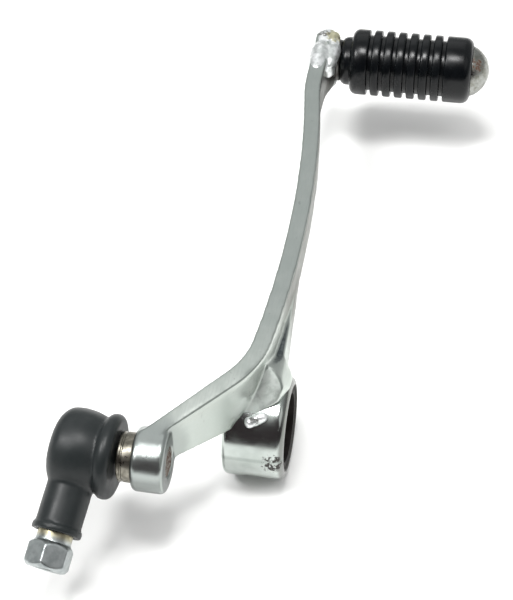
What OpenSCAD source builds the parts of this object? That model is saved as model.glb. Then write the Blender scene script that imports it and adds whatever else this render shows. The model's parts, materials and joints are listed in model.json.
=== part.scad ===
// Motorcycle gear shift lever: a flat curved bar on a pivot tube, with a rubbered toe peg at
// one end and a ball joint in a dust boot at the other.
// Frame: origin at the centre of the pivot bore, X along the lever to the toe peg, Z up,
// -Y the side the toe peg sticks out of. Millimetres.

/* [Lever] */
// Distance along X from the pivot to the toe peg
peg_x = 154; // [145:1:165]
// Distance along X from the pivot back to the link eye
link_x = 32; // [31:0.5:33]
// Height of the peg axis and of the link eye above the pivot
eye_z = 18.2; // [18:0.1:19]
// Radius of the rounded bar end and of the link eye
eye_r = 8.8; // [8.4:0.1:9.2]
// Thickness of the flat bar
bar_t = 5.4; // [5:0.1:5.8]
// Height of the bar along its slim middle
bar_h = 10; // [9:0.5:12]

/* [Pivot] */
// Outer radius of the pivot tube
tube_r = 15; // [14.8:0.1:15.2]
// Inner radius of the pivot tube
tube_bore_r = 12; // [11.5:0.1:12.5]
// Length of the pivot tube
tube_len = 17.5; // [17:0.5:19]
// Bore radius of the plain bush
bush_r = 10; // [9:0.5:10.5]

/* [Toe peg] */
// Outer radius of the peg rubber
rubber_r = 11.3; // [10.8:0.1:12]
// Distance between the grooves round the rubber
groove_pitch = 4.17; // [4:0.01:4.3]
// Number of grooves round the rubber
grooves = 7; // [5:1:7]
// Radius of the steel pin inside the rubber
pin_r = 5; // [4:0.25:6]

/* [Ball joint] */
// Distance along Y from the middle of the pivot to the ball
ball_y = 42.8; // [42.5:0.1:44]
// Radius of the ball
ball_r = 4; // [3.8:0.1:4.2]
// Angle the shank hangs below the lever line
hang = 28; // [0:1:60]
// Angle the shank leans away from square to the stud
lean = 7; // [0:1:10]
// Distance from the ball to the end of the hexagon
shank_len = 32.5; // [31.5:0.5:35]
// Hexagon size across its flats
hex_af = 11; // [10.5:0.5:12]
// Radius of the threaded hole for the link rod
thread_r = 2.5; // [2:0.1:3]

/* [Hidden] */
$fn = 96;

top_z = eye_z + eye_r;
waist_z = top_z - bar_h;
half_tube = tube_len / 2;
tube_edge = 2.2;

// Plan of the bar: a wide sweep whose lowest point is the waist, an elbow to the link arm,
// and a small bend to the straight pad under the peg
waist_x = 53;
waist_y = -2.2;
sweep_r = 448;
elbow_r = 30;
pad_bend_r = 80;
pad_y = 3.9;
arm_angle = 38;
sweep_in = 5.8;
sweep_out = acos(1 - (pad_y - waist_y) / (sweep_r + pad_bend_r));
pad_x = waist_x + (sweep_r + pad_bend_r) * sin(sweep_out);
sweep_centre = [waist_x, waist_y + sweep_r];
elbow_centre = sweep_centre - (sweep_r - elbow_r) * [sin(sweep_in), cos(sweep_in)];
arc_steps = 12;
arm_len = 30;
arm_tip_t = 4.4;

// Side profile of the bar
belly_x0 = 48;
belly_x1 = 108;
belly_z = tube_r / 2;
belly_rise = 2.6;
arm_tip_h = 13;

// Link eye and the bore through it for the ball stud
eye_y0 = 18.6;
eye_y1 = 27.7;
eye_edge = 1.4;
stud_r = 4;

// Web that ties the outboard end of the tube to the bar; its front slopes down to a foot
web_z = eye_z + 2;
web_x1 = 46;
web_side_y = -6.2;
web_top_x = 2;
web_top_z = web_z + 2.5;
web_foot_x = -8;
web_foot_z = 12.6;

// Weld beads: a row of drops that slants round the tube at the foot of the web, and a ring
// round the foot of the peg's collar
drop_r = 1.7;
drop_step = 1.2;
pivot_drops = 4;
pivot_bead_y = -0.5;
pivot_bead_angle = 36;
pivot_bead_skew = 30;
peg_bead_r = 2.4;
peg_bead_ring_r = 7.6;
peg_bead_out = 1.1;

// Toe peg, outward from the outboard face of the bar
pad_face_y = pad_y - bar_t / 2;
collar_r = 7.6;
collar_len = 3.6;
flare_reach = 10;
rubber_y0 = pad_face_y - collar_len;
nose_r = 8.3;
nose_len = 3.8;
nose_edge = 2.2;
shoulder = 2.2;
groove_w = 1.4;
groove_d = 1.8;
first_groove = 10.5;
last_rib = 10;
rubber_len = first_groove + (grooves - 1) * groove_pitch + last_rib;
head_r = 8.4;
head_h = 6.4;
head_rim = 0.9;
head_recess = 0.5;

// Ball joint, along the stud from the ball centre; minus is toward the lever
flange_r = 6.8;
flange_h = 4;
flange_edge = 0.6;
neck_r = 2.3;
seat_r = 6.8;
seat_front = -2;
seat_back = 4.5;
seat_gap = 0.05;
housing_r = 8.6;
housing_front = -4.5;
housing_back = 5.4;
mouth_r = 4.9;
shank_r = 4.8;
hex_len = 7;
hex_edge = 1.2;
thread_len = 20;

// Dust boot
boot_r = 11.5;
boot_in_r = 9.2;
boot_front = -6;
boot_back = 7;
boot_waist_r = 10.2;
boot_wall = 1.5;
boot_round = 4.8;
barrel_r = 16;
barrel_y = 0.5;
lip_r = 11.6;
lip_y0 = -10.4;
lip_y1 = -6.2;
lip_round = 1.9;
neck_hole_r = 2.6;
sleeve_r = 6.2;
sleeve_bore_r = 5.1;
flare_r = 6.8;
flare_len = 1.8;
sleeve_end = 22.8;

// Reach of cutting tools, longer than any part they pass through
through = 60;

// Solid of revolution about the Y axis, from a profile of (radius, y) points
module turned_y() {
    rotate([-90, 0, 0]) rotate_extrude() children();
}

// Cylinder along Y between two y values
module rod_y(r, y0, y1) {
    translate([0, y0, 0]) rotate([-90, 0, 0]) cylinder(r = r, h = y1 - y0);
}

// Cylinder along -X between two distances from the origin
module rod_back(r, d0, d1) {
    translate([-d0, 0, 0]) rotate([0, -90, 0]) cylinder(r = r, h = d1 - d0);
}

// Slab between two y values, cut to a side profile drawn with X across and Z up
module side_slab(y0, y1) {
    translate([0, y1, 0]) rotate([90, 0, 0]) linear_extrude(y1 - y0) children();
}

// Profile of a disc with both rims rounded, as (radius, y) points
module round_rim(r, y0, y1, edge) {
    translate([0, y0]) square([r - edge, y1 - y0]);
    translate([0, y0 + edge]) square([r, y1 - y0 - 2 * edge]);
    for (y = [y0 + edge, y1 - edge]) {
        translate([r - edge, y]) circle(r = edge);
    }
}

// Points along an arc round a centre, from one angle to another
function arc(centre, r, from, to) = [for (i = [0:arc_steps])
    let (angle = from + (to - from) * i / arc_steps) centre + r * [cos(angle), sin(angle)]];

// The plan of the bar: its outboard side from the arm tip to the peg, then its other side back
module bar_plan() {
    half = bar_t / 2;
    along_arm = [-cos(arm_angle), sin(arm_angle)];
    across_arm = [sin(arm_angle), cos(arm_angle)];
    arm_tip = elbow_centre - elbow_r * across_arm + arm_len * along_arm;
    polygon(concat([arm_tip - across_arm * arm_tip_t / 2],
        arc(elbow_centre, elbow_r + half, 270 - arm_angle, 270 - sweep_in),
        arc(sweep_centre, sweep_r + half, 270 - sweep_in, 270 + sweep_out),
        arc([pad_x, pad_y - pad_bend_r], pad_bend_r - half, 90 + sweep_out, 90),
        arc([peg_x + eye_r - half, pad_y], half, -90, 90),
        arc([pad_x, pad_y - pad_bend_r], pad_bend_r + half, 90, 90 + sweep_out),
        arc(sweep_centre, sweep_r - half, 270 + sweep_out, 270 - sweep_in),
        arc(elbow_centre, elbow_r - half, 270 - sweep_in, 270 - arm_angle),
        [arm_tip + across_arm * arm_tip_t / 2]));
}

// The side profile of the bar, drawn with X across and Z up
module bar_profile() {
    translate([peg_x, eye_z]) circle(r = eye_r);
    polygon([[-link_x, top_z], [peg_x, top_z], [peg_x - 4, eye_z - eye_r + 1],
        [belly_x1, waist_z], [belly_x0, waist_z], [tube_r - 2, belly_z], [2 - tube_r, belly_z + belly_rise],
        [5 - link_x, top_z - arm_tip_h], [-link_x, eye_z]]);
}

// Concave flare that swells the outboard side of the bar toward the foot of the collar
module peg_flare() {
    end_r = collar_r + flare_reach;
    sink = 2.6;
    curve_r = (flare_reach * flare_reach + sink * sink) / (2 * sink);
    intersection() {
        at_peg() turned_y() difference() {
            translate([0, pad_face_y - sink]) square([end_r, sink + 1]);
            translate([end_r, pad_face_y - curve_r]) circle(r = curve_r);
            translate([0, pad_face_y - sink]) square([collar_r, sink]);
        }
        side_slab(-through, through) bar_profile();
    }
}

// The web, as its plan, its side profile and its slope toward the end of the tube
module web() {
    intersection() {
        linear_extrude(through) polygon([[web_x1, waist_y],
            [web_x1, waist_y - bar_t / 2 + 0.2], [web_x1 * 0.6, web_side_y + 0.9],
            [9, web_side_y + 0.3], [5.5, -half_tube], [1.5, -half_tube],
            [web_foot_x + 3.6, web_side_y], [web_foot_x, 0], [web_foot_x, 4], [0, 3], [8, 0]]);
        side_slab(-half_tube, 4) polygon([[belly_x0, web_z], [9, web_z], [web_top_x, web_top_z],
            [web_foot_x, web_foot_z], [web_foot_x, belly_z], [tube_r - 2, belly_z],
            [belly_x0, waist_z + 1]]);
        rotate([90, 0, 90]) translate([0, 0, web_foot_x]) linear_extrude(web_x1 - web_foot_x)
            polygon([[4, 0], [4, web_top_z], [-3, web_top_z], [web_side_y, web_z],
                [-half_tube, tube_r + 1], [-half_tube, 0]]);
    }
}

// Flat bar with its link arm, link eye and web, coped to sit on the tube
module lever_bar() {
    color("silver") difference() {
        union() {
            intersection() {
                linear_extrude(through) bar_plan();
                side_slab(-through, through) bar_profile();
            }
            web();
            peg_flare();
            translate([-link_x, 0, eye_z]) turned_y() round_rim(eye_r, eye_y0, eye_y1, eye_edge);
        }
        rod_y(tube_r, -through, through);
        translate([-link_x, 0, eye_z]) rod_y(stud_r, 0, through);
        translate([peg_x, 0, eye_z]) rod_y(pin_r, -through, through);
    }
}

// Short tube welded under the bar
module pivot_tube() {
    color("gainsboro") difference() {
        turned_y() round_rim(tube_r, -half_tube, half_tube, tube_edge);
        rod_y(tube_bore_r, -through, through);
    }
}

// Row of weld drops on the tube, at an angle from its top toward -X
module pivot_weld() {
    middle = (pivot_drops - 1) / 2;
    color("darkgray") rotate([0, -pivot_bead_angle, 0]) translate([0, pivot_bead_y, tube_r])
        rotate([0, 0, pivot_bead_skew]) turned_y() intersection() {
            for (i = [0:pivot_drops - 1]) {
                translate([0, (i - middle) * drop_step]) circle(r = drop_r);
            }
            translate([0, -through / 2]) square([drop_r, through]);
        }
}

// Plain bearing sleeve pressed in the tube
module pivot_bush() {
    color("dimgray") difference() {
        rod_y(tube_bore_r, 0.5 - half_tube, half_tube - 0.5);
        rod_y(bush_r, -through, through);
    }
}

// Places its children on the peg axis
module at_peg() {
    translate([peg_x, 0, eye_z]) children();
}

// Steel collar between the bar and the rubber
module peg_collar() {
    color("gray") at_peg() difference() {
        rod_y(collar_r, rubber_y0, pad_face_y);
        rod_y(pin_r, -through, through);
    }
}

// Ring of weld round the foot of the collar
module peg_weld() {
    color("darkgray") at_peg() turned_y()
        translate([peg_bead_ring_r, pad_face_y - peg_bead_out]) circle(r = peg_bead_r);
}

// Steel pin through bar, collar and rubber, ending in a domed head
module peg_pin() {
    head_y = rubber_y0 - rubber_len + head_recess;
    dome_h = head_h - head_rim;
    dome_r = (head_r * head_r + dome_h * dome_h) / (2 * dome_h);
    color("lightgray") at_peg() {
        rod_y(pin_r, head_y, pad_y + bar_t / 2);
        rod_y(head_r, head_y - head_rim, head_y);
        turned_y() intersection() {
            translate([0, head_y - head_h + dome_r]) circle(r = dome_r);
            translate([0, head_y - head_h]) square([head_r, dome_h]);
        }
    }
}

// Ribbed rubber sleeve with a narrow nose at the bar and a recess for the pin's head
module peg_rubber() {
    body_y0 = rubber_y0 - nose_len;
    end_y = rubber_y0 - rubber_len;
    color("#202020") at_peg() difference() {
        union() {
            turned_y() {
                round_rim(nose_r, body_y0 - nose_len, rubber_y0, nose_edge);
                round_rim(rubber_r, end_y, body_y0, shoulder);
            }
        }
        for (i = [0:grooves - 1]) {
            y = rubber_y0 - first_groove - i * groove_pitch;
            difference() {
                rod_y(rubber_r + 1, y - groove_w / 2, y + groove_w / 2);
                rod_y(rubber_r - groove_d, y - groove_w, y + groove_w);
            }
        }
        rod_y(pin_r, -through, through);
        rod_y(head_r, end_y - 1, end_y + head_recess);
    }
}

// Places its children at the ball, square to the lever
module at_ball() {
    translate([-link_x, ball_y, eye_z]) children();
}

// Places its children at the ball, hanging by the shank's angle and leaning by a given one
module at_lean(angle) {
    at_ball() rotate([0, -hang, 0]) rotate([0, 0, -angle]) children();
}

// Places its children in the frame of the rod end
module at_rod_end() {
    at_lean(lean) children();
}

// Ball on a necked stud, flanged against the eye and riveted through it
module ball_stud() {
    eye_face = eye_y1 - ball_y;
    color("tan") at_ball() {
        rod_y(stud_r, eye_y0 - ball_y + 0.2, eye_face);
        turned_y() round_rim(flange_r, eye_face, eye_face + flange_h, flange_edge);
        rod_y(neck_r, eye_face, 0);
        sphere(r = ball_r);
    }
}

// Resin cup that grips the ball
module ball_seat() {
    color("ivory") at_rod_end() turned_y() difference() {
        translate([0, seat_front]) square([seat_r, seat_back - seat_front]);
        circle(r = ball_r + seat_gap);
    }
}

// Ring housing with a round shank that ends in a bored and threaded hexagon
module rod_end() {
    hex_r = hex_af / 2 / cos(30);
    hex_start = shank_len - hex_len;
    color("khaki") at_rod_end() difference() {
        union() {
            rod_y(housing_r, housing_front, housing_back);
            rod_back(shank_r, seat_r + 0.6, hex_start + 1);
            intersection() {
                translate([-hex_start, 0, 0]) rotate([0, -90, 0])
                    cylinder(r = hex_r, h = hex_len, $fn = 6);
                rotate([0, -90, 0]) rotate_extrude() polygon([[0, hex_start],
                    [hex_r - hex_edge, hex_start], [hex_r, hex_start + hex_edge],
                    [hex_r, shank_len - hex_edge], [hex_r - hex_edge, shank_len], [0, shank_len]]);
            }
        }
        rod_y(seat_r, seat_front, through);
        rod_y(mouth_r, -through, seat_front + 1);
        rod_back(thread_r, shank_len - thread_len, shank_len + 1);
    }
}

// Disc that closes the back of the housing
module seat_plug() {
    color("darkgray") at_rod_end() rod_y(seat_r, seat_back, housing_back);
}

// Rubber boot: a drum and a sleeve on the rod end, and a lip round the stud that leans half
// as far
module dust_boot() {
    color("#303634") difference() {
        union() {
            at_rod_end() {
                turned_y() intersection() {
                    translate([boot_r - barrel_r, barrel_y]) circle(r = barrel_r);
                    union() {
                        translate([0, boot_front])
                            square([boot_r, boot_back - boot_round - boot_front]);
                        square([boot_r - boot_round, boot_back]);
                        translate([boot_r - boot_round, boot_back - boot_round])
                            circle(r = boot_round);
                    }
                }
                rod_back(sleeve_r, boot_in_r, sleeve_end - 0.5);
                rod_back(flare_r, sleeve_end - flare_len, sleeve_end);
            }
            at_lean(lean / 2) turned_y() {
                round_rim(lip_r, lip_y0, lip_y1, lip_round);
                translate([0, lip_y1 - 1]) square([boot_waist_r, 2]);
            }
        }
        at_rod_end() rod_y(boot_in_r, boot_front - 0.5, boot_back - boot_wall);
        at_rod_end() rod_back(sleeve_bore_r, 0, sleeve_end + 1);
        at_lean(lean / 2) rod_y(boot_in_r - 0.6, lip_y0 + boot_wall, boot_front);
        at_ball() rod_y(neck_hole_r, lip_y0 - 2, 0);
    }
}

lever_bar();
pivot_tube();
pivot_weld();
pivot_bush();
peg_collar();
peg_weld();
peg_pin();
peg_rubber();
ball_stud();
ball_seat();
rod_end();
seat_plug();
dust_boot();
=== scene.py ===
"""Looks of a motorcycle gear shift lever: polished and satin steel, weld beads, ribbed rubber
and a rubber dust boot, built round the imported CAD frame. Metres, Z up, pivot bore at the origin."""

import json
import math
import random

import bmesh
import bpy
from mathutils import Euler, Matrix, Vector, noise


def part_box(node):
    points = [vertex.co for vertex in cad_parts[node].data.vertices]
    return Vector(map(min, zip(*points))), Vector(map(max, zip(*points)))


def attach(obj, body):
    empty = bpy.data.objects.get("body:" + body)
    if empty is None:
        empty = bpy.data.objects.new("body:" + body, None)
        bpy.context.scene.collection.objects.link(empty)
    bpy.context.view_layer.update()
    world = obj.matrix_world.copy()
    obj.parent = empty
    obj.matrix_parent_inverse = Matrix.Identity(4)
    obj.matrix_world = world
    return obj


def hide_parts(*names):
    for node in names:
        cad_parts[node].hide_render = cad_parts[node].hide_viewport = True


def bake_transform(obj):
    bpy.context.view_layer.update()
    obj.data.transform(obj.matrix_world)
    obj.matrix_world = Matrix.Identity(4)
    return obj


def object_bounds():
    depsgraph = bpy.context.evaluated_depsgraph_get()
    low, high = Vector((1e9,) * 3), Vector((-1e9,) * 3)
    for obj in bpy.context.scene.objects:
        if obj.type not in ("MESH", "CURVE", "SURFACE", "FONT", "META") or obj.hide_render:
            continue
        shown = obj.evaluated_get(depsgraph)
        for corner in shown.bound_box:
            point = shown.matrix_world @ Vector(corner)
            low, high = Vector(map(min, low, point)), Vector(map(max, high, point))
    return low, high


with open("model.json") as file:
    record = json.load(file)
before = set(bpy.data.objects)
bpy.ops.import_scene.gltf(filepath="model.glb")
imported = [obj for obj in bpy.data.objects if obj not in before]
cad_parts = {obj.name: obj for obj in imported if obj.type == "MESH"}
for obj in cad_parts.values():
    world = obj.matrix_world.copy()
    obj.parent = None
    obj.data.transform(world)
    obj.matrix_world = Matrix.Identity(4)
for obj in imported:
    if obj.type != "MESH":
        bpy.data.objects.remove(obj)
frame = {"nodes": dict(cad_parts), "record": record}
CAD_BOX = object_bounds()

MM = 0.001
SEED = 7


# ---------------------------------------------------------------- sizes from the frame

def centre(node):
    """Middle of a CAD node's box."""
    low, high = (Vector(corner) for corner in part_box(node))
    return (low + high) / 2


def size(node):
    """Edge lengths of a CAD node's box."""
    low, high = (Vector(corner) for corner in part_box(node))
    return high - low


JOINTS = {joint["name"]: joint for joint in frame["record"]["behaviour"]["joints"]}
BALL = Vector(JOINTS["rod_end_spin"]["pos_m"])
MOUNTS = {mount["name"]: mount for mount in frame["record"]["mounts"]}
SHANK_OUT = Vector(MOUNTS["rod_thread"]["axis"])
SHANK_END = Vector(MOUNTS["rod_thread"]["pos_m"])

# Places on the bar, and the ways its faces look.
BAR_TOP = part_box("lever_bar")[1][2]
BAR_MIDDLE_Y = 3.9 * MM
EYE_FACE = 27.7 * MM
EYE_R = BAR_TOP - BALL.z
EYE = Vector((BALL.x, EYE_FACE - 4.5 * MM, BALL.z))
ARM_END = Vector((-32.7 * MM, 23.0 * MM, 0))
ARM_OUTWARD = Vector((-0.62, -0.78, 0))
ARM_EDGE_SIDE = (-0.45, -0.57, 0.69)
WEB_FRONT = (-0.72, -0.12, 0.69)

TUBE_R = size("pivot_tube").z / 2
TUBE_BORE_R = size("pivot_bush").z / 2
TUBE_HALF = size("pivot_tube").y / 2
PEG = centre("peg_rubber")
RUBBER_R = size("peg_rubber").z / 2
RUBBER_Y0, RUBBER_Y1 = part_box("peg_rubber")[1][1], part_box("peg_rubber")[0][1]
COLLAR_R = size("peg_collar").z / 2
HEAD_R = size("peg_pin").z / 2
SHAFT_R = 5.0 * MM
HEAD_RECESS = 0.5 * MM


# ---------------------------------------------------------------- mesh helpers

def linked(name, mesh):
    """A new object in the scene for a mesh."""
    piece = bpy.data.objects.new(name, mesh)
    bpy.context.scene.collection.objects.link(piece)
    return piece


def share_between(value, low, high):
    """0 below low, 1 above high, straight between; low may be the larger one."""
    return min(max((value - low) / (high - low), 0), 1)


def shade_smooth(mesh):
    """Shades every face of a mesh smooth."""
    mesh.polygons.foreach_set("use_smooth", [True] * len(mesh.polygons))


def applied(piece):
    """Turns a piece's modifiers into its mesh."""
    depsgraph = bpy.context.evaluated_depsgraph_get()
    mesh = bpy.data.meshes.new_from_object(piece.evaluated_get(depsgraph))
    old = piece.data
    piece.modifiers.clear()
    piece.data = mesh
    bpy.data.meshes.remove(old)
    shade_smooth(mesh)
    return piece


def remeshed(piece, voxel, passes):
    """Melts a piece into one skin, with its edges and inner corners rounded."""
    remesh = piece.modifiers.new("remesh", "REMESH")
    remesh.mode = "VOXEL"
    remesh.voxel_size = voxel
    smooth = piece.modifiers.new("smooth", "SMOOTH")
    smooth.factor = 0.5
    smooth.iterations = passes
    return applied(piece)


def softened(node, name, voxel, passes):
    """A copy of a CAD solid with its edges and inner corners rounded."""
    piece = linked(name, frame["nodes"][node].data.copy())
    piece.data.materials.clear()
    return remeshed(piece, voxel, passes)


def lumps(name, blobs, voxel, passes):
    """One skin over ellipsoids, each given as (centre, radii)."""
    builder = bmesh.new()
    for middle, radii in blobs:
        place = Matrix.Translation(middle) @ Matrix.Diagonal((*radii, 1))
        bmesh.ops.create_icosphere(builder, subdivisions=3, radius=1, matrix=place)
    mesh = bpy.data.meshes.new(name)
    builder.to_mesh(mesh)
    builder.free()
    return remeshed(linked(name, mesh), voxel, passes)


def roughened(piece, depth, grain, weight=None):
    """Moves a piece's skin in and out by smooth noise; weight says how much at each point."""
    mesh = piece.data
    offset = Vector((SEED, SEED * 2, SEED * 3))
    moves = []
    for vertex in mesh.vertices:
        share = weight(vertex.co) if weight else 1
        push = noise.noise(vertex.co / grain + offset) * depth * share
        moves.append(vertex.co + vertex.normal * push)
    for vertex, place in zip(mesh.vertices, moves):
        vertex.co = place
    return piece


def rounded(corners, steps=5):
    """Points of a profile whose corners, given as (radius, y, rounding), are cut by arcs."""
    points = []
    count = len(corners)
    for i, (r, y, rounding) in enumerate(corners):
        here = Vector((r, y))
        if rounding == 0 or i in (0, count - 1):
            points.append(here)
            continue
        before = (Vector(corners[i - 1][:2]) - here).normalized()
        after = (Vector(corners[i + 1][:2]) - here).normalized()
        half = before.angle(after) / 2
        reach = rounding / math.tan(half)
        middle = here + (before + after).normalized() * rounding / math.sin(half)
        start = here + before * reach - middle
        turn = start.angle_signed(here + after * reach - middle)
        for step in range(steps + 1):
            angle = -turn * step / steps
            points.append(middle + Matrix.Rotation(angle, 2) @ start)
    return points


def lathe(name, profile, x, z, sides=160):
    """A turned piece round an axis along Y through (x, z); the profile is (radius, y) points.
    A point on the axis closes the piece there, and otherwise the profile closes on itself."""
    builder = bmesh.new()
    closed = profile[0][0] > 0
    rings = []
    for r, y in profile:
        if r <= 0:
            rings.append([builder.verts.new((x, y, z))])
            continue
        ring = []
        for side in range(sides):
            angle = 2 * math.pi * side / sides
            ring.append(builder.verts.new((x + r * math.cos(angle), y, z + r * math.sin(angle))))
        rings.append(ring)
    pairs = list(zip(rings, rings[1:]))
    if closed:
        pairs.append((rings[-1], rings[0]))
    for a, b in pairs:
        for side in range(sides):
            after = (side + 1) % sides
            if len(a) == 1:
                builder.faces.new((a[0], b[side], b[after]))
            elif len(b) == 1:
                builder.faces.new((a[side], b[0], a[after]))
            else:
                builder.faces.new((a[side], b[side], b[after], a[after]))
    bmesh.ops.recalc_face_normals(builder, faces=builder.faces)
    mesh = bpy.data.meshes.new(name)
    builder.to_mesh(mesh)
    builder.free()
    shade_smooth(mesh)
    return linked(name, mesh)


def placed(piece, node, body, finish):
    """Stands a piece in for its CAD node, on its body, with its finish."""
    piece.data.materials.clear()
    piece.data.materials.append(finish)
    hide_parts(node)
    if body:
        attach(piece, body)
    return piece


# ---------------------------------------------------------------- material helpers

class Nodes:
    """Builds a material's node tree with short calls; each call gives an output socket."""

    def __init__(self, name):
        self.material = bpy.data.materials.new(name)
        self.material.use_nodes = True
        self.tree = self.material.node_tree
        self.shader = self.tree.nodes["Principled BSDF"]
        self.coordinates = self.tree.nodes.new("ShaderNodeTexCoord").outputs["Object"]

    def link(self, value, socket):
        """Feeds a socket from another node's output, or from a fixed value."""
        if isinstance(value, bpy.types.NodeSocket):
            self.tree.links.new(value, socket)
        else:
            socket.default_value = value

    def noise(self, scale, detail=4, rough=0.55, stretch=(1, 1, 1)):
        """Noise from 0 to 1; scale is the size of its spots in metres."""
        mapping = self.tree.nodes.new("ShaderNodeMapping")
        mapping.inputs["Scale"].default_value = stretch
        self.link(self.coordinates, mapping.inputs["Vector"])
        texture = self.tree.nodes.new("ShaderNodeTexNoise")
        self.link(mapping.outputs["Vector"], texture.inputs["Vector"])
        texture.inputs["Scale"].default_value = 1 / scale
        texture.inputs["Detail"].default_value = detail
        texture.inputs["Roughness"].default_value = rough
        return texture.outputs["Fac"]

    def ramp(self, value, low, high, to_low=0.0, to_high=1.0):
        """A value's stretch from low to high, carried to another range with soft ends."""
        node = self.tree.nodes.new("ShaderNodeMapRange")
        node.interpolation_type = "SMOOTHSTEP"
        self.link(value, node.inputs["Value"])
        node.inputs["From Min"].default_value = low
        node.inputs["From Max"].default_value = high
        node.inputs["To Min"].default_value = to_low
        node.inputs["To Max"].default_value = to_high
        return node.outputs["Result"]

    def maths(self, operation, a, b=0.0):
        """Two values put through one of Blender's math operations."""
        node = self.tree.nodes.new("ShaderNodeMath")
        node.operation = operation
        self.link(a, node.inputs[0])
        self.link(b, node.inputs[1])
        return node.outputs["Value"]

    def times(self, a, b):
        """Two values multiplied."""
        return self.maths("MULTIPLY", a, b)

    def plus(self, a, b):
        """Two values added."""
        return self.maths("ADD", a, b)

    def either(self, a, b):
        """The larger of two shares."""
        return self.maths("MAXIMUM", a, b)

    def outside(self, share):
        """What a share leaves of 1."""
        return self.maths("SUBTRACT", 1, share)

    def mix(self, share, a, b):
        """From colour a to colour b by share."""
        node = self.tree.nodes.new("ShaderNodeMix")
        node.data_type = "RGBA"
        self.link(share, node.inputs["Factor"])
        self.link((*a, 1) if isinstance(a, tuple) else a, node.inputs[6])
        self.link((*b, 1) if isinstance(b, tuple) else b, node.inputs[7])
        return node.outputs[2]

    def along(self, direction, origin=(0, 0, 0)):
        """Distance along a direction from a point, in metres."""
        shift = self.tree.nodes.new("ShaderNodeVectorMath")
        shift.operation = "SUBTRACT"
        self.link(self.coordinates, shift.inputs[0])
        shift.inputs[1].default_value = origin
        dot = self.tree.nodes.new("ShaderNodeVectorMath")
        dot.operation = "DOT_PRODUCT"
        self.link(shift.outputs["Vector"], dot.inputs[0])
        dot.inputs[1].default_value = direction
        return dot.outputs["Value"]

    def near(self, point, reach, ragged=0.3):
        """1 near a point, falling to 0 about a reach away, with an edge as ragged as asked."""
        shift = self.tree.nodes.new("ShaderNodeVectorMath")
        shift.operation = "DISTANCE"
        self.link(self.coordinates, shift.inputs[0])
        shift.inputs[1].default_value = point
        swing = ragged * reach
        edge = self.ramp(self.noise(reach * 0.5, 5), 0.3, 0.7, -swing, swing)
        gap = self.plus(shift.outputs["Value"], edge)
        return self.ramp(gap, reach * 0.8, reach * 1.15, 1, 0)

    def from_y_axis(self):
        """Distance from the Y axis, in metres."""
        flat = self.tree.nodes.new("ShaderNodeVectorMath")
        flat.operation = "MULTIPLY"
        self.link(self.coordinates, flat.inputs[0])
        flat.inputs[1].default_value = (1, 0, 1)
        length = self.tree.nodes.new("ShaderNodeVectorMath")
        length.operation = "LENGTH"
        self.link(flat.outputs["Vector"], length.inputs[0])
        return length.outputs["Value"]

    def facing(self, direction):
        """How squarely the surface faces a direction, from -1 to 1."""
        geometry = self.tree.nodes.new("ShaderNodeNewGeometry")
        dot = self.tree.nodes.new("ShaderNodeVectorMath")
        dot.operation = "DOT_PRODUCT"
        self.link(geometry.outputs["Normal"], dot.inputs[0])
        dot.inputs[1].default_value = direction
        return dot.outputs["Value"]

    def bump(self, height, depth, strength=1.0):
        """Feeds a bump of a depth in metres to the shader; a second one adds to the first."""
        node = self.tree.nodes.new("ShaderNodeBump")
        node.inputs["Strength"].default_value = strength
        node.inputs["Distance"].default_value = depth
        self.link(height, node.inputs["Height"])
        before = self.shader.inputs["Normal"]
        if before.is_linked:
            self.link(before.links[0].from_socket, node.inputs["Normal"])
        self.link(node.outputs["Normal"], self.shader.inputs["Normal"])

    def finish(self, colour, rough, metallic=0.0):
        """Sets the shader and gives the material."""
        self.link((*colour, 1) if isinstance(colour, tuple) else colour,
                  self.shader.inputs["Base Color"])
        self.link(rough, self.shader.inputs["Roughness"])
        self.link(metallic, self.shader.inputs["Metallic"])
        return self.material


# ---------------------------------------------------------------- materials

def satin_steel():
    """Pale linished steel, cloudy and finely scratched, with the marks of its making and painted
    shade on parts of the bar; soot from the weld darkens the peg's foot."""
    n = Nodes("satin_steel")
    clouds = n.noise(9 * MM, 5, 0.6)
    scratches = n.noise(0.5 * MM, 3, 0.6, stretch=(0.12, 1, 1))
    spots = n.noise(2.2 * MM, 2, 0.4)
    colour = n.mix(n.ramp(clouds, 0.35, 0.7), (0.56, 0.61, 0.57), (0.67, 0.71, 0.67))
    colour = n.mix(n.ramp(scratches, 0.3, 0.75, 0, 0.35), colour, (0.48, 0.52, 0.49))
    colour = n.mix(n.ramp(spots, 0.70, 0.76, 0, 0.5), colour, (0.28, 0.29, 0.28))

    at_eye = n.near(tuple(EYE), EYE_R + 3.0 * MM, 0.05)
    front_slope = n.times(n.ramp(n.facing(WEB_FRONT), 0.78, 0.97),
                          n.ramp(n.along((0, -1, 0)), -3 * MM, 0))
    # painted shade: a dark line along the arm's rolled outer top edge, also made rougher
    painted_crease_shade = n.times(n.ramp(n.facing(ARM_EDGE_SIDE), 0.93, 0.985),
                     n.ramp(n.along((-1, 0, 0)), -14 * MM, -4 * MM))
    corner = n.near((-8.5 * MM, 2.0 * MM, 14 * MM), 4.5 * MM)
    colour = eye_and_side_marks_and_shade(n, colour, at_eye)
    colour = web_marks_and_shade(n, colour, front_slope)
    colour = arm_marks_and_shade(n, colour, corner, painted_crease_shade)
    soot = n.near((PEG.x - 9 * MM, 0, PEG.z - 5 * MM), 8 * MM)
    colour = n.mix(n.times(soot, 0.8), colour, (0.06, 0.055, 0.045))

    rough = n.ramp(clouds, 0.3, 0.75, 0.34, 0.46)
    rough = n.plus(rough, n.times(at_eye, -0.07))
    rough = n.plus(rough, n.times(front_slope, 0.2))
    rough = n.plus(rough, n.times(n.either(painted_crease_shade, corner), 0.25))
    n.bump(scratches, 0.02 * MM, 0.25)
    n.bump(n.noise(3 * MM, 3), 0.12 * MM, 0.35)
    return n.finish(colour, rough, 1.0)


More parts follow.
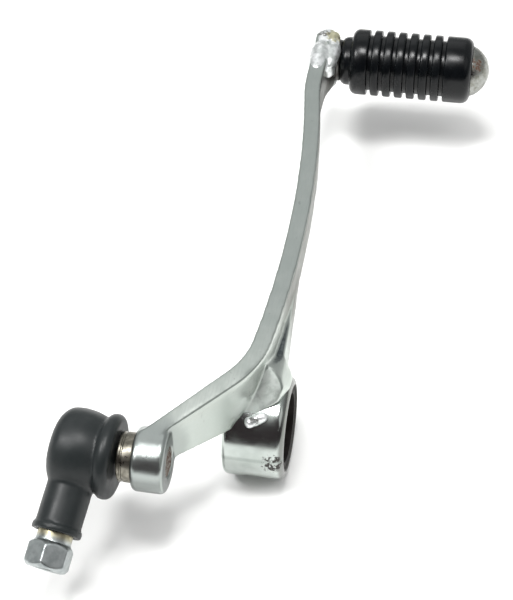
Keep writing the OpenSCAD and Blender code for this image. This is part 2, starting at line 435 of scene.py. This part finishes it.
def eye_and_side_marks_and_shade(n, colour, at_eye):
    """The eye is polished and a little greyer, with painted shade on its outboard end and its
    underside.
    The bar's outboard side past the elbow is painted dark as shade, and its top gets painted shade
    toward the peg."""
    outboard = n.facing((0, -1, 0))
    upward = n.facing((0, 0, 1))
    toward_peg = n.along((1, 0, 0))
    # painted shade: the outboard side past the elbow and the eye's outboard end are painted near
    # black
    side = n.times(n.ramp(outboard, 0.75, 0.97, 0, 0.85), n.ramp(toward_peg, 10 * MM, 30 * MM))
    painted_eye_end_shade = n.times(n.ramp(outboard, 0.82, 0.93, 0, 0.9), at_eye)
    colour = n.mix(n.either(side, painted_eye_end_shade), colour, (0.12, 0.12, 0.105))
    colour = n.mix(n.times(at_eye, 0.7), colour, (0.36, 0.39, 0.385))
    # painted shade on the eye's underside
    painted_eye_underside_shade = n.times(n.ramp(upward, 0.05, 0.4, 0.65, 0), at_eye)
    colour = n.mix(painted_eye_underside_shade, colour, (0.13, 0.14, 0.135))
    # painted shade: the top is painted dimmer toward the peg
    painted_top_shade = n.times(n.ramp(toward_peg, -20 * MM, 30 * MM, 0, 0.55), n.ramp(upward, 0.7, 0.95))
    return n.mix(painted_top_shade, colour, (0.27, 0.30, 0.295))


def web_marks_and_shade(n, colour, front_slope):
    """The top of the web is painted dark and mottled as shade, and its front has dull streaks."""
    below_strip = n.ramp(n.along((0, 0, 1)), BAR_TOP - 6.0 * MM, BAR_TOP - 4.5 * MM, 1, 0)
    # painted shade: the web's upward face below the strip is painted dark, with mottling
    top = n.times(n.ramp(n.facing((0, 0, 1)), 0.88, 0.96), below_strip)
    painted_web_top_shade = n.mix(n.ramp(n.noise(1.6 * MM, 4), 0.35, 0.65), (0.09, 0.105, 0.11), (0.19, 0.21, 0.21))
    colour = n.mix(top, colour, painted_web_top_shade)
    streaks = n.ramp(n.noise(2.5 * MM, 4, 0.6), 0.4, 0.7)
    dull = n.mix(streaks, (0.57, 0.61, 0.58), (0.41, 0.45, 0.42))
    return n.mix(front_slope, colour, dull)


def arm_marks_and_shade(n, colour, corner, painted_crease_shade):
    """A pale patch at the elbow, painted shade on the outward face near the tube and along its top
    edge.
    """
    colour = n.mix(n.times(corner, 0.5), colour, (0.88, 0.92, 0.89))
    # painted shade: the arm's outward face is painted dimmer near the tube
    face = n.times(n.ramp(n.facing(tuple(ARM_OUTWARD)), 0.93, 0.99),
                   n.ramp(n.along((-1, 0, 0)), 4 * MM, 14 * MM, 0, 0.6))
    colour = n.mix(face, colour, (0.42, 0.46, 0.43))
    # painted shade along the arm's top edge
    return n.mix(n.times(painted_crease_shade, 0.8), colour, (0.24, 0.27, 0.25))


def chrome():
    """Bright hazy plating, with painted shade on the outboard rim and at the bore's lip, a faint
    painted reflection band, grimy specks and a stained patch."""
    n = Nodes("chrome")
    stain_spot = (-TUBE_R, -TUBE_HALF * 0.68, TUBE_R * 0.08)
    stain = n.times(n.near(stain_spot, 3.0 * MM), n.ramp(n.noise(1.1 * MM, 4), 0.42, 0.52))
    specks = n.ramp(n.noise(0.9 * MM, 3, 0.6), 0.70, 0.74, 0, 0.7)
    # painted shade: the tube's inner edge at the bore is dark, rough and not metallic
    painted_mouth_shade = n.ramp(n.from_y_axis(), TUBE_BORE_R + 0.3 * MM, TUBE_BORE_R + 0.8 * MM, 0.9, 0)
    # real stain and specks together with the painted bore shade
    dirt_and_mouth_shade = n.either(n.either(stain, specks), painted_mouth_shade)
    haze = n.ramp(n.noise(6 * MM, 5), 0.35, 0.75)
    colour = n.mix(haze, (0.50, 0.54, 0.515), (0.40, 0.44, 0.415))
    # painted shade on the outboard rim's rounding
    painted_rim_shade = n.ramp(n.facing((0, -1, 0)), 0.25, 0.7, 0, 0.75)
    colour = n.mix(painted_rim_shade, colour, (0.13, 0.13, 0.12))
    # painted reflection: a dark band along the tube just above its axis
    height = n.along((0, 0, 1))
    painted_reflection_band = n.times(n.ramp(height, 0.5 * MM, 1.4 * MM), n.ramp(height, 1.8 * MM, 2.7 * MM, 1, 0))
    colour = n.mix(n.times(painted_reflection_band, 0.5), colour, (0.24, 0.27, 0.25))
    colour = n.mix(dirt_and_mouth_shade, colour, (0.035, 0.032, 0.028))
    rough = n.plus(n.ramp(haze, 0, 1, 0.17, 0.27), n.times(dirt_and_mouth_shade, 0.5))
    n.bump(n.noise(5 * MM, 2), 0.05 * MM, 0.3)
    n.bump(dirt_and_mouth_shade, 0.03 * MM, 0.4)
    return n.finish(colour, rough, n.outside(dirt_and_mouth_shade))


def weld_metal(name, pit_at, pit_reach, stain_at=None, stain_reach=0.0):
    """Bright rippled weld, part matt, with slag pits round one spot and, where asked, a stain."""
    n = Nodes(name)
    ripples = n.noise(2.2 * MM, 3, 0.5)
    pits = n.times(n.near(pit_at, pit_reach), n.ramp(n.noise(1.0 * MM, 2, 0.3), 0.46, 0.52))
    colour = n.mix(n.ramp(ripples, 0.38, 0.6), (0.63, 0.66, 0.65), (0.95, 0.97, 0.97))
    if stain_at:
        stain = n.near(stain_at, stain_reach)
        colour = n.mix(n.times(stain, 0.8), colour, (0.47, 0.44, 0.24))
    colour = n.mix(n.times(pits, 0.9), colour, (0.04, 0.038, 0.035))
    rough = n.plus(n.ramp(ripples, 0.3, 0.7, 0.28, 0.44), n.times(pits, 0.4))
    n.bump(ripples, 0.3 * MM, 0.5)
    n.bump(pits, 0.2 * MM, -0.6)
    return n.finish(colour, rough, n.times(n.outside(pits), 0.82))


def dull_steel(name, pale, dark, rust_at=None, rust_reach=0.0, gloss=0.36):
    """Bare or zinc plated steel, mottled, with grime and, where asked, a rust spot."""
    n = Nodes(name)
    metallic = 1.0
    mottle = n.noise(2.4 * MM, 5, 0.6)
    colour = n.mix(n.ramp(mottle, 0.35, 0.7), pale, dark)
    rough = n.ramp(n.noise(1.2 * MM, 4), 0.3, 0.7, gloss - 0.07, gloss + 0.12)
    if rust_at:
        rust = n.times(n.near(rust_at, rust_reach), n.ramp(n.noise(0.9 * MM, 4), 0.4, 0.55))
        colour = n.mix(rust, colour, (0.075, 0.035, 0.02))
        rough = n.plus(rough, n.times(rust, 0.4))
        metallic = n.outside(rust)
    n.bump(n.noise(0.5 * MM, 4), 0.03 * MM, 0.4)
    return n.finish(colour, rough, metallic)


def zinc():
    """The rod end: yellow zinc on the round shank, silver on the hexagon."""
    n = Nodes("zinc")
    mottle = n.noise(2.0 * MM, 5, 0.6)
    yellow = n.mix(n.ramp(mottle, 0.35, 0.7), (0.44, 0.41, 0.29), (0.32, 0.29, 0.20))
    silver = n.mix(n.ramp(mottle, 0.35, 0.7), (0.42, 0.45, 0.45), (0.30, 0.33, 0.33))
    to_end = n.along(tuple(SHANK_OUT), tuple(SHANK_END))
    colour = n.mix(n.ramp(to_end, -9.2 * MM, -7.4 * MM), yellow, silver)
    rough = n.ramp(n.noise(1.4 * MM, 4), 0.3, 0.7, 0.34, 0.48)
    n.bump(n.noise(0.6 * MM, 4), 0.03 * MM, 0.4)
    return n.finish(colour, rough, 1.0)


def rubber(name, colour_a, colour_b, gloss, skin):
    """Moulded rubber: faint bloom, fine skin, scuffs."""
    n = Nodes(name)
    bloom = n.noise(7 * MM, 5, 0.6)
    colour = n.mix(n.ramp(bloom, 0.35, 0.72), colour_a, colour_b)
    dust = n.ramp(n.noise(0.7 * MM, 3), 0.68, 0.76, 0, 0.12)
    colour = n.mix(dust, colour, (0.05, 0.05, 0.047))
    rough = n.ramp(n.noise(5 * MM, 4), 0.3, 0.7, gloss - 0.03, gloss + 0.06)
    n.bump(n.noise(0.5 * MM, 3), 0.02 * MM, skin)
    n.shader.inputs["Specular IOR Level"].default_value = 0.30
    return n.finish(colour, rough)


def plastic(name, colour_a, colour_b, gloss):
    """Moulded or turned plastic with faint tool marks round its axis."""
    n = Nodes(name)
    colour = n.mix(n.ramp(n.noise(3 * MM, 4), 0.35, 0.7), colour_a, colour_b)
    rough = n.ramp(n.noise(1 * MM, 4), 0.3, 0.7, gloss - 0.05, gloss + 0.1)
    n.bump(n.noise(0.4 * MM, 2, 0.5, stretch=(0.1, 1, 0.1)), 0.02 * MM, 0.3)
    n.shader.inputs["Specular IOR Level"].default_value = 0.25
    return n.finish(colour, rough)


def pale_floor():
    """Nearly white, faintly uneven."""
    n = Nodes("pale_floor")
    colour = n.mix(n.noise(0.4, 2), (0.88, 0.88, 0.87), (0.90, 0.90, 0.89))
    return n.finish(colour, 0.85)


# ---------------------------------------------------------------- pieces

def make_bar():
    """The flat bar with its arm, eye and web: the arm's outer top edge and the web are melted
    rounder than the rest, and the end under the weld is hammered."""
    piece = softened("lever_bar", "bar", 0.42 * MM, 7)
    rolled = piece.vertex_groups.new(name="rolled")
    for vertex in piece.data.vertices:
        rolled.add([vertex.index], melt_share(vertex.co), "REPLACE")
    melt = piece.modifiers.new("melt", "SMOOTH")
    melt.factor = 0.5
    melt.iterations = 36
    melt.vertex_group = "rolled"
    applied(piece)
    hammered_from = PEG.x - 13 * MM

    def weight(point):
        return 1 + 3 * share_between(point.x, hammered_from, hammered_from + 8 * MM)

    roughened(piece, 0.09 * MM, 7 * MM, weight)
    return placed(piece, "lever_bar", "lever", satin_steel())


def melt_share(spot):
    """How far a point of the bar is melted: near the arm's outer top edge, and on the web."""
    on_web = -13 * MM < spot.x < 45 * MM and spot.y < 6 * MM and spot.z < BAR_TOP - 3 * MM
    on_arm = share_between(spot.x, 4 * MM, -4 * MM) * share_between(spot.x, -30 * MM, -22 * MM)
    from_face = abs((spot - ARM_END).dot(ARM_OUTWARD))
    from_edge = Vector((max(from_face - 0.6 * MM, 0), BAR_TOP - spot.z)).length
    on_edge = share_between(from_edge, 3.2 * MM, 1.6 * MM)
    return max(on_arm * on_edge, 0.6 if on_web else 0)


def make_tube():
    """The polished tube, its rims rolled over, the outboard one more."""
    rim, lip = 2.4 * MM, 0.5 * MM
    corners = [(TUBE_BORE_R, 0, 0), (TUBE_BORE_R, -TUBE_HALF, lip), (TUBE_R, -TUBE_HALF, rim),
               (TUBE_R, TUBE_HALF, rim * 0.6), (TUBE_BORE_R, TUBE_HALF, lip), (TUBE_BORE_R, 0, 0)]
    profile = rounded(corners, 7)
    piece = lathe("tube", profile[:-1], 0, 0, 220)
    return placed(piece, "pivot_tube", "lever", chrome())


def make_pivot_weld():
    """A short lumpy bead where the web meets the tube."""
    low, high = (Vector(corner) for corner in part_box("pivot_weld"))
    radius = 1.7 * MM
    inset = Vector((radius, -radius, radius))
    start = Vector((low.x, high.y, low.z)) + inset
    end = Vector((high.x, low.y, high.z)) - inset
    randomly = random.Random(SEED)
    blobs = []
    count = 6
    for step in range(count):
        lump = radius * randomly.uniform(0.92, 1.06)
        blobs.append((start.lerp(end, step / (count - 1)), (lump, lump, lump)))
    piece = lumps("weld_at_pivot", blobs, 0.2 * MM, 5)
    roughened(piece, 0.22 * MM, 1.8 * MM)
    finish = weld_metal("weld_at_pivot", tuple(start + Vector((0, -1.2 * MM, 1.4 * MM))), 1.3 * MM)
    return placed(piece, "pivot_weld", "lever", finish)


def make_peg_weld():
    """A ring of weld round the collar's foot, heaped up over the end of the bar."""
    low, high = (Vector(corner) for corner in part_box("peg_weld"))
    middle = (low + high) / 2
    bead = (high.y - low.y) / 2
    ring_r = (high.x - low.x) / 2 - bead
    randomly = random.Random(SEED + 1)
    blobs = []
    count = 30
    for step in range(count):
        angle = 2 * math.pi * step / count
        lump = bead * randomly.uniform(0.75, 0.95)
        spot = middle + Vector((ring_r * math.cos(angle), 0.5 * MM, ring_r * math.sin(angle)))
        blobs.append((spot, (lump, lump, lump)))
    # Each heap's place is x from the peg's axis, y, and depth below the bar's top; all in mm.
    heaps = [((-9.0, 3.9, 2.2), (10.0, 3.8, 3.8)), ((1.0, 3.9, 2.9), (7.0, 3.6, 3.5)),
             ((-5.0, 0.2, 2.2), (9.0, 2.7, 2.9)), ((4.6, 2.8, 4.5), (4.0, 3.6, 4.6)),
             ((-10.0, 0.6, 4.8), (4.0, 2.2, 3.6))]
    for (x, y, below_top), radii in heaps:
        spot = Vector((PEG.x + x * MM, y * MM, BAR_TOP - below_top * MM))
        blobs.append((spot, tuple(r * MM for r in radii)))
    piece = lumps("weld_at_peg", blobs, 0.3 * MM, 6)
    roughened(piece, 0.4 * MM, 5.0 * MM)
    pit_at = (PEG.x + 2.5 * MM, BAR_MIDDLE_Y + 0.5 * MM, BAR_TOP)
    stain_at = (PEG.x + 2 * MM, -0.5 * MM, BAR_TOP)
    finish = weld_metal("weld_at_peg", pit_at, 2.6 * MM, stain_at, 3.6 * MM)
    return placed(piece, "peg_weld", "lever", finish)


def make_collar():
    """The dark boss between bar and rubber, with a groove where it meets the rubber."""
    outer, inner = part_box("peg_collar")[1][1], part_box("peg_collar")[0][1]
    bore = HEAD_R * 0.62
    groove = 0.5 * MM
    profile = rounded([(bore, outer, 0), (COLLAR_R, outer, 0), (COLLAR_R, inner + 1.2 * MM, 0.3 * MM),
                       (COLLAR_R - groove, inner + 0.9 * MM, 0.2 * MM), (COLLAR_R - groove, inner, 0),
                       (bore, inner, 0)])
    piece = lathe("collar", profile, PEG.x, PEG.z)
    finish = dull_steel("collar_steel", (0.12, 0.12, 0.115), (0.055, 0.05, 0.045), gloss=0.42)
    return placed(piece, "peg_collar", "lever", finish)


def make_peg_rubber():
    """The rubber: a nose, ribs with rounded edges, and a fat end that wraps the pin's head."""
    pitch, width, depth = 4.17 * MM, 1.4 * MM, 1.8 * MM
    first, nose_len, nose_r = 10.5 * MM, 3.8 * MM, 8.3 * MM
    count = 7
    rib_edge, groove_edge = 0.6 * MM, 0.25 * MM
    shoulder_y = RUBBER_Y0 - nose_len
    groove_r = RUBBER_R - depth
    mouth_y = RUBBER_Y1 + HEAD_RECESS
    corners = [(SHAFT_R, RUBBER_Y0, 0), (nose_r, RUBBER_Y0, 2.4 * MM),
               (nose_r, shoulder_y, 0.4 * MM), (RUBBER_R, shoulder_y, 2.3 * MM)]
    for i in range(count):
        y = RUBBER_Y0 - first - i * pitch
        near_side, far_side = y + width / 2, y - width / 2
        corners += [(RUBBER_R, near_side, rib_edge), (groove_r, near_side, groove_edge),
                    (groove_r, far_side, groove_edge), (RUBBER_R, far_side, rib_edge)]
    corners += [(RUBBER_R, RUBBER_Y1, 3.0 * MM), (HEAD_R + 0.25 * MM, RUBBER_Y1, 0.35 * MM),
                (HEAD_R + 0.05 * MM, mouth_y, 0), (SHAFT_R, mouth_y, 0)]
    piece = lathe("peg_sleeve", rounded(corners, 4), PEG.x, PEG.z, 180)
    finish = rubber("peg_rubber", (0.0012, 0.0018, 0.0024), (0.003, 0.004, 0.0048), 0.24, 0.04)
    return placed(piece, "peg_rubber", "lever", finish)


def make_pin():
    """The pin, whose domed head sits in the rubber's end."""
    low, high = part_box("peg_pin")
    head_y = RUBBER_Y1 + HEAD_RECESS
    dome_y = head_y - 0.9 * MM
    dome_h = dome_y - low[1]
    dome_r = (HEAD_R ** 2 + dome_h ** 2) / (2 * dome_h)
    rim_angle = math.asin(HEAD_R / dome_r)
    steps = 14
    dome = []
    for step in range(steps + 1):
        angle = rim_angle * step / steps
        dome.append((dome_r * math.sin(angle), low[1] + dome_r * (1 - math.cos(angle))))
    shank = rounded([(HEAD_R, dome_y, 0), (HEAD_R, head_y, 0.2 * MM), (SHAFT_R, head_y, 0),
                     (SHAFT_R, high[1], 0), (0, high[1], 0)])
    piece = lathe("pin", dome + [tuple(point) for point in shank[1:]], PEG.x, PEG.z)
    roughened(piece, 0.05 * MM, 2.5 * MM)
    rust_at = (PEG.x - 4.6 * MM, dome_y - 1.2 * MM, PEG.z + 5.8 * MM)
    finish = dull_steel("pin_steel", (0.35, 0.36, 0.34), (0.23, 0.23, 0.20),
                        rust_at, 2.2 * MM, gloss=0.30)
    return placed(piece, "peg_pin", "lever", finish)


def make_stud():
    """The ball stud: rivet in the eye, flange with a fine groove, neck and ball."""
    low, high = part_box("ball_stud")
    stud_r, neck_r, ball_r = 4.0 * MM, 2.3 * MM, high[1] - BALL.y
    flange_r = size("ball_stud").z / 2
    flange_end = EYE_FACE + 4.0 * MM
    groove_r = flange_r - 0.3 * MM
    corners = [(0, low[1], 0), (stud_r, low[1], 0.3 * MM), (stud_r, EYE_FACE, 0),
               (flange_r, EYE_FACE, 0.3 * MM), (flange_r, flange_end - 1.5 * MM, 0.15 * MM),
               (groove_r, flange_end - 1.3 * MM, 0.1 * MM),
               (groove_r, flange_end - 1.0 * MM, 0.1 * MM),
               (flange_r, flange_end - 0.8 * MM, 0.15 * MM), (flange_r, flange_end, 0.3 * MM),
               (neck_r, flange_end, 0)]
    profile = [tuple(point) for point in rounded(corners, 4)]
    start = math.asin(neck_r / ball_r)
    steps = 12
    for step in range(steps):
        angle = start + (math.pi - start) * step / steps
        profile.append((ball_r * math.sin(angle), BALL.y - ball_r * math.cos(angle)))
    profile.append((0, BALL.y + ball_r))
    piece = lathe("stud", profile, BALL.x, BALL.z)
    rivet_end = (BALL.x, low[1], BALL.z)
    finish = dull_steel("stud_steel", (0.27, 0.255, 0.215), (0.15, 0.14, 0.115),
                        rivet_end, 5.5 * MM, gloss=0.33)
    return placed(piece, "ball_stud", "lever", finish)


def make_boot():
    """The rubber boot, from the lip round the stud to the sleeve on the shank."""
    piece = softened("dust_boot", "boot", 0.4 * MM, 9)
    roughened(piece, 0.08 * MM, 8 * MM)
    finish = rubber("boot_rubber", (0.012, 0.015, 0.0155), (0.018, 0.021, 0.0215), 0.39, 0.15)
    placed(piece, "dust_boot", None, finish)
    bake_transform(piece)
    return piece


def make_rod_end():
    """Housing, shank and hexagon, with worn corners."""
    piece = softened("rod_end", "rod_end_body", 0.28 * MM, 6)
    return placed(piece, "rod_end", "rod_end", zinc())


def paint_hidden_nodes():
    """Finishes for the CAD pieces that stay as they are."""
    finishes = {
        "pivot_bush": plastic("bush_plastic", (0.012, 0.010, 0.009), (0.020, 0.017, 0.015), 0.6),
        "ball_seat": plastic("seat_resin", (0.62, 0.60, 0.52), (0.72, 0.70, 0.62), 0.45),
        "seat_plug": dull_steel("plug_steel", (0.50, 0.50, 0.50), (0.38, 0.38, 0.37)),
    }
    for node, finish in finishes.items():
        data = frame["nodes"][node].data
        data.materials.clear()
        data.materials.append(finish)


# ---------------------------------------------------------------- stage, lights, camera

def make_floor():
    """A plain square just under the part."""
    half = 3.0
    level = CAD_BOX[0].z - 0.2 * MM
    builder = bmesh.new()
    corners = []
    for x, y in ((-half, -half), (half, -half), (half, half), (-half, half)):
        corners.append(builder.verts.new((x, y, level)))
    builder.faces.new(corners)
    mesh = bpy.data.meshes.new("floor")
    builder.to_mesh(mesh)
    builder.free()
    floor = linked("floor", mesh)
    floor.data.materials.append(pale_floor())


def add_softbox(name, direction, distance, width, radiance):
    """A square softbox seen from the object in a direction, as bright as asked."""
    target = Vector((0.05, 0, 0))
    toward = Vector(direction).normalized()
    data = bpy.data.lights.new(name, "AREA")
    data.shape = "SQUARE"
    data.size = width
    data.energy = radiance * math.pi * width ** 2
    light = bpy.data.objects.new(name, data)
    light.location = target + toward * distance
    light.rotation_euler = toward.to_track_quat("Z", "Y").to_euler()
    bpy.context.scene.collection.objects.link(light)


def add_sun(name, energy, spread, direction):
    """Far light, as wide as its spread in degrees, that metal doesn't mirror."""
    data = bpy.data.lights.new(name, "SUN")
    data.energy = energy
    data.angle = math.radians(spread)
    light = bpy.data.objects.new(name, data)
    light.rotation_euler = Vector(direction).to_track_quat("Z", "Y").to_euler()
    light.visible_glossy = False
    bpy.context.scene.collection.objects.link(light)


def add_sky():
    """A pale sky, dim on the side of the link end."""
    world = bpy.data.worlds.new("sky")
    world.use_nodes = True
    bpy.context.scene.world = world
    tree = world.node_tree
    direction = tree.nodes.new("ShaderNodeTexCoord").outputs["Generated"]
    dim_side = tree.nodes.new("ShaderNodeVectorMath")
    dim_side.operation = "DOT_PRODUCT"
    dim_side.inputs[1].default_value = Vector((-0.94, -0.1, 0.33)).normalized()
    tree.links.new(direction, dim_side.inputs[0])
    share = tree.nodes.new("ShaderNodeMapRange")
    share.interpolation_type = "SMOOTHSTEP"
    share.inputs["From Min"].default_value = 0.1
    share.inputs["From Max"].default_value = 0.6
    tree.links.new(dim_side.outputs["Value"], share.inputs["Value"])
    mix = tree.nodes.new("ShaderNodeMix")
    mix.data_type = "RGBA"
    mix.inputs[6].default_value = (0.42, 0.43, 0.43, 1)
    mix.inputs[7].default_value = (0.045, 0.035, 0.038, 1)
    tree.links.new(share.outputs["Result"], mix.inputs["Factor"])
    tree.links.new(mix.outputs[2], tree.nodes["Background"].inputs["Color"])


def add_lights():
    """Two wide suns light the floor evenly; softboxes give the highlights."""
    add_sun("day", 0.55, 30, (-0.26, -0.20, 0.94))
    add_sun("overcast", 0.85, 120, (-0.2, 0, 1))
    add_softbox("key", (-0.16, 0.02, 0.98), 1.0, 0.22, 36)
    add_softbox("back", (0.70, 0.14, 0.70), 1.3, 0.8, 0.5)
    add_softbox("outboard", (-0.24, -0.61, 0.73), 1.2, 0.7, 0.8)
    add_softbox("inboard", (-0.30, 0.44, 0.85), 1.2, 0.3, 30)
    add_sky()


def add_camera():
    """Above and beyond the link end, looking along the lever."""
    data = bpy.data.cameras.new("camera")
    data.sensor_fit = "VERTICAL"
    data.sensor_height = 24
    data.lens = 60.12
    camera = bpy.data.objects.new("camera", data)
    camera.location = (-0.27693, -0.05472, 0.32820)
    camera.rotation_euler = Euler([math.radians(turn) for turn in (45.416, 1.256, -80.061)])
    bpy.context.scene.collection.objects.link(camera)
    bpy.context.scene.camera = camera


def main():
    """Builds the pieces, then the stage round them."""
    bpy.context.scene.view_settings.view_transform = "Standard"
    make_bar()
    make_tube()
    make_pivot_weld()
    make_peg_weld()
    make_collar()
    make_peg_rubber()
    make_pin()
    make_stud()
    make_boot()
    make_rod_end()
    paint_hidden_nodes()
    make_floor()
    add_lights()
    add_camera()


main()
